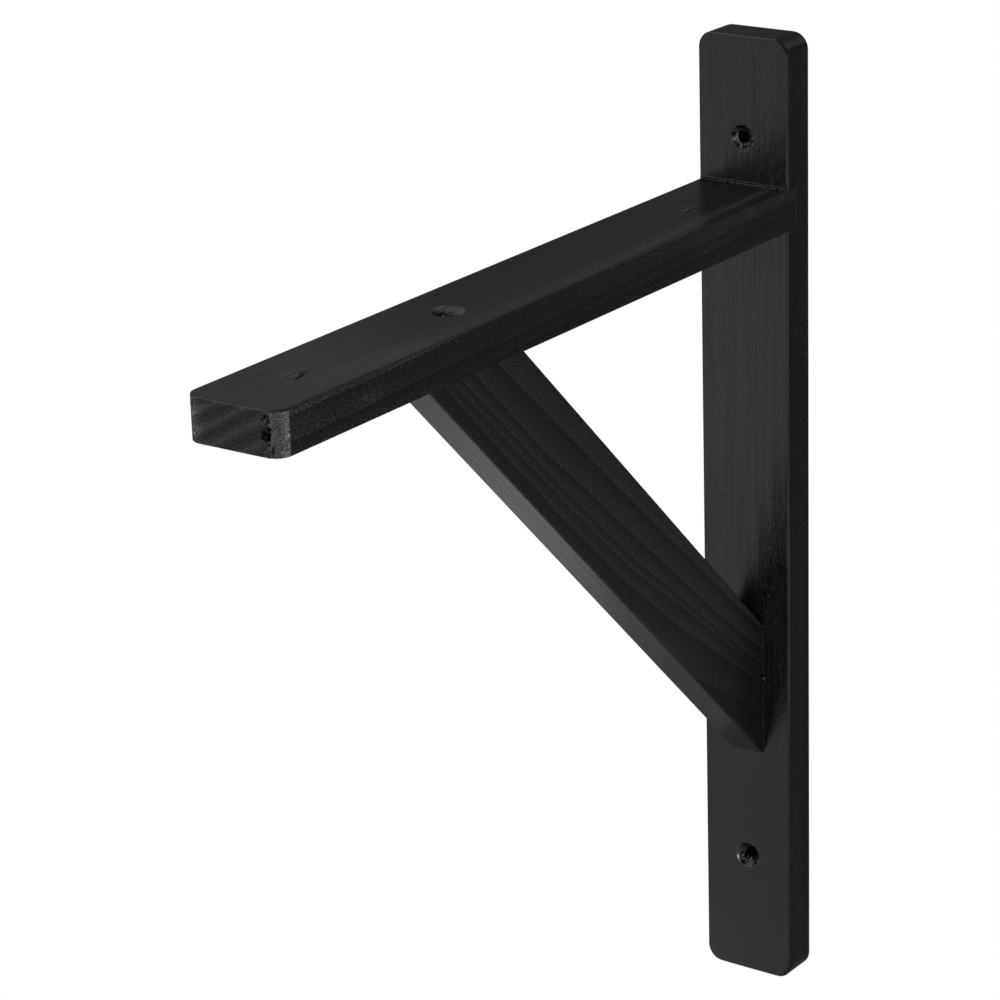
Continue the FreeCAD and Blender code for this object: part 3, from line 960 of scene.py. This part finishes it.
# Paint in the arm's screw seat: the brush filled the dish over the head, so that little of the screw
# shows. The film lies aslant like the head, lumpy over its recess and broken open at its sunk edge.
FILM_REACH = 5.25
FILM_DEPTH = 0.42
FILM_RINGS = 40
FILM_STEPS = 120
FILM_LIP = 5.0
FILM_BOWL_DEPTH = 1.7
FILM_BOWL_AREA = 4.4
FILM_BREAKS = [
    ([(-2.6, -2.2), (-0.9, -1.7), (0.4, -2.0), (2.0, -2.9)], 0.60, 1.5, 0.12),
    ([(-1.6, -3.4), (0.8, -3.7)], 0.40, 0.8, 0.10),
    ([(-2.0, 0.6), (-0.8, -0.4)], 0.22, 0.30, 0.10),
    ([(0.8, 0.6), (1.6, -0.8)], 0.22, 0.30, 0.10),
]
# Glints painted pale onto the film: (across, along, reach)
FILM_GLINTS = [(0.9, -1.5, 0.45), (0.5, -3.9, 0.35), (-1.0, 2.1, 0.25), (1.2, -0.2, 0.3), (2.8, 3.0, 0.3)]


def film_height(x, y):
    """Height of the skin of paint over the screw, from the arm's top."""
    sunk = FILM_DEPTH + math.tan(HEAD_TILT) * (x * SUNK_SIDE.x + y * SUNK_SIDE.y)
    coarse = noise.noise(Vector((x * 1.5, y * 1.5, 5.1)))
    fine = noise.noise(Vector((x * 3.3, y * 3.3, 2.2)))
    lumps = math.exp(-(x ** 2 + (y + 1.4) ** 2) / 6.0) * (0.16 * coarse + 0.09 * fine)
    rim = 0.10 * hump(math.hypot(x, y), FILM_LIP, 0.22)
    bowl = FILM_BOWL_DEPTH * max(0.0, 1 - (0.6 * (x + 0.3) ** 2 + (y + 2.9) ** 2) / FILM_BOWL_AREA)
    return min(0.03, -sunk - bowl + lumps + rim)


def from_film_middle(vert):
    """A point's place across and along the film, from its middle."""
    return Vector((vert.co.x, vert.co.y - BRACE_TOE_SCREW))


def film_finish(vert):
    """Smooth behind and grainy over the recess, both painted pale as sheen on the black paint, with painted
    highlight round the lip and at the glints, and plain black in the hollow in front.
    """
    x, y = from_film_middle(vert)
    grainy = math.exp(-(x ** 2 + (y + 0.6) ** 2) / 8.0)
    # The film is black paint: its pale is painted sheen and highlight
    pale = (0.3 + 3.9 * ramp(y, -1, 2) + 2.8 * grainy) * (1 - 0.95 * ramp(-y, 0.6, 1.0))
    pale += 1.2 * hump(math.hypot(x, y), FILM_LIP, 0.3) + 13.0 * spotted(x, y, FILM_GLINTS)
    return Finish(rough=0.05 - 0.1 * grainy, pale=pale, torn=0.05 + 0.45 * grainy, raised=0.1)


film = bmesh.new()
rings = surface_rings(FILM_REACH, FILM_RINGS, FILM_STEPS, film_height)
for radius, height in ((FILM_REACH, -2.2), (3.9, -2.3), (0, -2.3)):
    rings.append(level_ring(radius, height, FILM_STEPS))
add_rings(film, [[point + TO_WALL * BRACE_TOE_SCREW for point in ring] for ring in rings])
film.normal_update()
score(film, lambda vert: from_film_middle(vert) if vert.normal.z > 0.5 else None, FILM_BREAKS)
grain_up(film, arm_lay, ARM_LINES, RING_SLANT, film_finish, 0.0)
film_piece = finished(film, "paint_over_screw", BLACK_PAINT)

# Beads of paint: where the brush met the joints, the paint ran into small lumps and fine lines along
# the seams, and it set hard and glossy there.
gloss_paint = Recipe("beads_of_black_paint")
spot = gloss_paint.add("ShaderNodeTexCoord").outputs["Object"]
skin = gloss_paint.cloud(spot, (900, 900, 900), 2.0)
gloss_paint.set("Base Color", (0.006, 0.006, 0.006, 1))
gloss_paint.set("Roughness", gloss_paint.spread(skin, 0.3, 0.7, 0.12, 0.25))

SEAM_STEP = 0.22
SEAM_SIDES = 10
SEAM_LINES = [
    ((-16.8, -13.5, 0.12), (16.8, -13.5, 0.12), 0.42),
    ((-16.8, -13.42, 0.90), (16.8, -13.42, 0.90), 0.26),
    ((17.0, HOUSING_FLOOR, 1.6), (17.0, HOUSING_FLOOR, -14.2), 0.26),
    ((6.5, -13.5, -156.0), (6.5, -13.5, -201.0), 0.13),
    ((17.0, -13.2, -14.0), (17.0, HOUSING_FLOOR, -14.0), 0.24),
    ((17.0, -13.2, 0.0), (17.0, HOUSING_FLOOR, 0.0), 0.16),
]
BEADS = [
    ((6.9, -13.7, -174.0), 0.85), ((6.8, -13.7, -175.3), 0.55), ((17.0, -9.6, 1.0), 0.5),
    ((17.0, -9.2, 3.2), 0.3), ((17.0, -11.5, -14.3), 0.5), ((17.0, -12.4, -14.1), 0.45),
    ((17.0, -10.2, -14.2), 0.35), ((6.7, -13.6, -160.5), 0.35), ((6.7, -13.6, -165.5), 0.25),
    ((-9.2, -13.5, -110.0), 0.3),
]
beads = bmesh.new()
for start, end, thickness in SEAM_LINES:
    start, end = Vector(start), Vector(end)
    run = (end - start).normalized()
    first = run.orthogonal().normalized()
    second = run.cross(first)
    count = int((end - start).length / SEAM_STEP)
    rings = [[start]]
    for index in range(1, count):
        centre = start.lerp(end, index / count)
        swell = 0.95 + 0.5 * noise.noise(centre * 1.3) + 0.35 * noise.noise(centre * 0.4)
        radius = thickness * max(0.7, swell)
        rings.append([centre + radius * (x * first + y * second) for x, y in circle(1, SEAM_SIDES)])
    rings.append([end])
    add_rings(beads, rings)
for centre, radius in BEADS:
    centre = Vector(centre)
    made = bmesh.ops.create_icosphere(
        beads, subdivisions=3, radius=radius, matrix=Matrix.Translation(centre))
    for vert in made["verts"]:
        vert.co = centre + (vert.co - centre) * (1 + 0.7 * noise.noise(vert.co * 1.4 + UP * 3))
bead_piece = finished(beads, "paint_beads", gloss_paint.material)

# Studio: the camera looks back at the wall from the right and a little above the arm, through a long
# lens. Soft boxes light the bracket from the front left, the front right, below, above and behind.
LENS_PIXELS = 3722.3
PICTURE_PIXELS = 1000
SENSOR_WIDTH = 36.0
CAMERA_PLACE = (0.62918, -1.02352, 0.31484)
CAMERA_RIGHT = Vector((0.815434, 0.578122, -0.029018))
CAMERA_DOWN = Vector((0.171591, -0.289296, -0.941735))
CAMERA_AHEAD = Vector((-0.552832, 0.762943, -0.335102))
camera = bpy.data.cameras.new("camera")
camera.sensor_width = SENSOR_WIDTH
camera.lens = SENSOR_WIDTH * LENS_PIXELS / PICTURE_PIXELS
camera_object = bpy.data.objects.new("camera", camera)
turn = Matrix((CAMERA_RIGHT, -CAMERA_DOWN, -CAMERA_AHEAD)).transposed()
camera_object.matrix_world = Matrix.Translation(CAMERA_PLACE) @ turn.to_4x4()
bpy.context.scene.collection.objects.link(camera_object)
bpy.context.scene.camera = camera_object
bpy.context.scene.view_settings.view_transform = "Standard"

# The camera sees white paper behind the bracket, and the bracket a dim pale room
world = bpy.data.worlds.new("studio")
bpy.context.scene.world = world
world.use_nodes = True
nodes, links = world.node_tree.nodes, world.node_tree.links
nodes.clear()
room = nodes.new("ShaderNodeBackground")
room.inputs["Color"].default_value = (0.95, 1.0, 0.99, 1)
room.inputs["Strength"].default_value = 0.10
paper = nodes.new("ShaderNodeBackground")
paper.inputs["Color"].default_value = (1, 1, 1, 1)
paper.inputs["Strength"].default_value = 1.0
seen = nodes.new("ShaderNodeLightPath")
pick = nodes.new("ShaderNodeMixShader")
out = nodes.new("ShaderNodeOutputWorld")
links.new(seen.outputs["Is Camera Ray"], pick.inputs[0])
links.new(room.outputs[0], pick.inputs[1])
links.new(paper.outputs[0], pick.inputs[2])
links.new(pick.outputs[0], out.inputs["Surface"])

MIDDLE = Vector((0, -0.14, -0.12))
WHITE = (1, 1, 1)
COOL = (1, 1, 0.96)
WARM = (1.0, 0.885, 0.785)


def softbox(name, centre, aim, size, radiance, colour=WHITE):
    """A soft box of even brightness that the camera doesn't see."""
    light = bpy.data.lights.new(name, "AREA")
    light.shape = "RECTANGLE"
    light.size, light.size_y = size
    light.energy = radiance * math.pi * size[0] * size[1]
    light.color = colour
    box = bpy.data.objects.new(name, light)
    box.location = centre
    box.rotation_euler = (Vector(aim) - Vector(centre)).to_track_quat("-Z", "Y").to_euler()
    box.visible_camera = False
    bpy.context.scene.collection.objects.link(box)


for name, rise, height, radiance in (
        ("high key", 0.42, 0.60, 0.71), ("upper key", -0.05, 0.335, 0.56),
        ("key", -0.3925, 0.355, 0.79), ("lower key", -0.8025, 0.465, 0.55)):
    softbox(name, MIDDLE + Vector((-0.81, -1.02, rise)), MIDDLE + UP * rise, (0.90, height), radiance)
for name, aside, ahead_of, width in (("strip", 0.62, -1.16, 0.95), ("side strip", 1.247, -0.369, 1.4)):
    softbox(name, MIDDLE + Vector((aside, ahead_of, -0.35)), MIDDLE - UP * 0.35, (width, 0.9), 0.8)
softbox("low", (-0.323, 0.031, -0.395), (-0.073, 0.001, -0.075), (0.09, 0.22), 0.56, COOL)
softbox("low end", (-0.314, 0.1095, -0.395), (-0.064, 0.0795, -0.075), (0.09, 0.22), 0.22, COOL)
softbox("foot fill", (-0.255, -0.21, -0.60), (-0.01, -0.0135, -0.21), (0.3, 0.3), 0.38)
softbox("back", (-1.075, 0.595, 0.409), (0, -0.205, 0), (0.72, 0.8), 0.137, WARM)
softbox("top", MIDDLE + 1.3 * Vector((-0.55, -0.33, 0.77)), MIDDLE, (1.0, 0.9), 1.5)
softbox("rim", MIDDLE + 1.4 * Vector((0.33, 0.77, 0.55)), MIDDLE, (0.7, 0.5), 0.35)
softbox("overhead", MIDDLE + Vector((0, 0.22, 1.4)), MIDDLE + TO_WALL * 0.05, (0.65, 0.65), 0.5)

# The pale floor lies well below the bracket, out of the camera's sight, and throws light up at it
FLOOR_SIZE = 4
FLOOR_LEVEL = -1.3
bpy.ops.mesh.primitive_plane_add(size=FLOOR_SIZE, location=(0, 0, FLOOR_LEVEL))
floor = bpy.context.object
floor.name = "floor"
pale_floor = Recipe("pale floor")
pale_floor.set("Base Color", (0.8, 0.8, 0.8, 1))
pale_floor.set("Roughness", 0.8)
floor.data.materials.append(pale_floor.material)
floor.visible_camera = False
